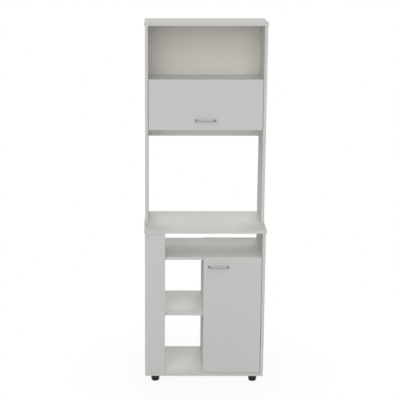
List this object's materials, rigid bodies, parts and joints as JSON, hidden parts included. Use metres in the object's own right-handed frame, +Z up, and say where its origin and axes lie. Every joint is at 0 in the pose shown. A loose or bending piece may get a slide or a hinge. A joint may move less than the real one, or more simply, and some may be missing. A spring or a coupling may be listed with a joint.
{
  "type": "microwave cabinet",
  "caption": "Tall freestanding kitchen cabinet with an open microwave niche, a lift-up flap cupboard, open shelves, a slot under the worktop and a hinged door, on round feet.",
  "frame": {"origin": "middle of the footprint's bounding box at floor level, under the feet", "axes": "+Z up, -Y towards the front where the door and flap open, +X to the right seen from the front"},
  "size_m": [0.6, 0.415, 1.786],
  "materials": {
    "melamine_board": "smooth matt melamine facing on particle board, edges banded",
    "back_board": "painted hardboard",
    "satin_chrome": "satin chrome plating",
    "fitting_steel": "nickel-plated pressed steel",
    "stay_paint": "satin black paint on steel",
    "foot_plastic": "moulded black plastic",
    "bumper_rubber": "soft translucent pad"
  },
  "bodies": {
    "cabinet": {"bottom_board": "melamine_board", "base_side_left": "melamine_board", "base_side_right": "melamine_board", "left_front_panel": "melamine_board", "divider": "melamine_board", "middle_shelf": "melamine_board", "slot_shelf": "melamine_board", "loose_shelf": "melamine_board", "worktop": "melamine_board", "hutch_side_left": "melamine_board", "hutch_side_right": "melamine_board", "hutch_floor": "melamine_board", "hutch_shelf": "melamine_board", "rear_rail": "melamine_board", "top_board": "melamine_board", "base_back_panel": "back_board", "hutch_back_panel": "back_board", "foot_front_left": "foot_plastic", "foot_front_right": "foot_plastic", "foot_rear_left": "foot_plastic", "foot_rear_right": "foot_plastic", "foot_screw_front_left": "fitting_steel", "foot_screw_front_right": "fitting_steel", "foot_screw_rear_left": "fitting_steel", "foot_screw_rear_right": "fitting_steel", "shelf_pin_left_front": "fitting_steel", "shelf_pin_right_front": "fitting_steel", "shelf_pin_left_rear": "fitting_steel", "shelf_pin_right_rear": "fitting_steel", "door_hinge_arm_upper": "fitting_steel", "door_hinge_plate_upper": "fitting_steel", "door_hinge_arm_lower": "fitting_steel", "door_hinge_plate_lower": "fitting_steel", "flap_hinge_arm_left": "fitting_steel", "flap_hinge_plate_left": "fitting_steel", "flap_hinge_arm_right": "fitting_steel", "flap_hinge_plate_right": "fitting_steel", "flap_stay_stud": "fitting_steel"},
    "door": {"door": "melamine_board", "door_handle": "satin_chrome", "door_handle_screw_left": "fitting_steel", "door_handle_screw_right": "fitting_steel", "door_hinge_cup_upper": "fitting_steel", "door_hinge_cup_lower": "fitting_steel", "door_bumper_lower": "bumper_rubber", "door_bumper_upper": "bumper_rubber"},
    "flap": {"flap": "melamine_board", "flap_handle": "satin_chrome", "flap_handle_screw_left": "fitting_steel", "flap_handle_screw_right": "fitting_steel", "flap_hinge_cup_left": "fitting_steel", "flap_hinge_cup_right": "fitting_steel", "flap_bumper_left": "bumper_rubber", "flap_bumper_right": "bumper_rubber", "flap_stay_bracket": "fitting_steel"},
    "flap_stay_cylinder": {"flap_stay_cylinder": "stay_paint"},
    "flap_stay_rod": {"flap_stay_rod": "satin_chrome"}
  },
  "joints": [
    {"name": "door_hinge", "type": "hinge", "parent": "cabinet", "child": "door", "pos_m": [0.2795, -0.1775, 0.3495], "axis": [0, 0, 1], "range_deg": [0, 95]},
    {"name": "flap_hinge", "type": "hinge", "parent": "cabinet", "child": "flap", "pos_m": [0, -0.0525, 1.513], "axis": [-1, 0, 0], "range_deg": [0, 90]},
    {"name": "flap_stay_swing", "type": "hinge", "parent": "cabinet", "child": "flap_stay_cylinder", "pos_m": [0.2695, 0.1375, 1.44], "axis": [1, 0, 0], "range_deg": [0, 1.75]},
    {"name": "flap_stay_slide", "type": "slide", "parent": "flap_stay_cylinder", "child": "flap_stay_rod", "axis": [0, -0.9789, 0.2044], "range_m": [0, 0.0725]}
  ],
  "couplings": [
    {"joint": "flap_stay_swing", "follows": "flap_hinge", "ratio": 0.018776},
    {"joint": "flap_stay_slide", "follows": "flap_hinge", "m_per_rad": 0.045974}
  ]
}
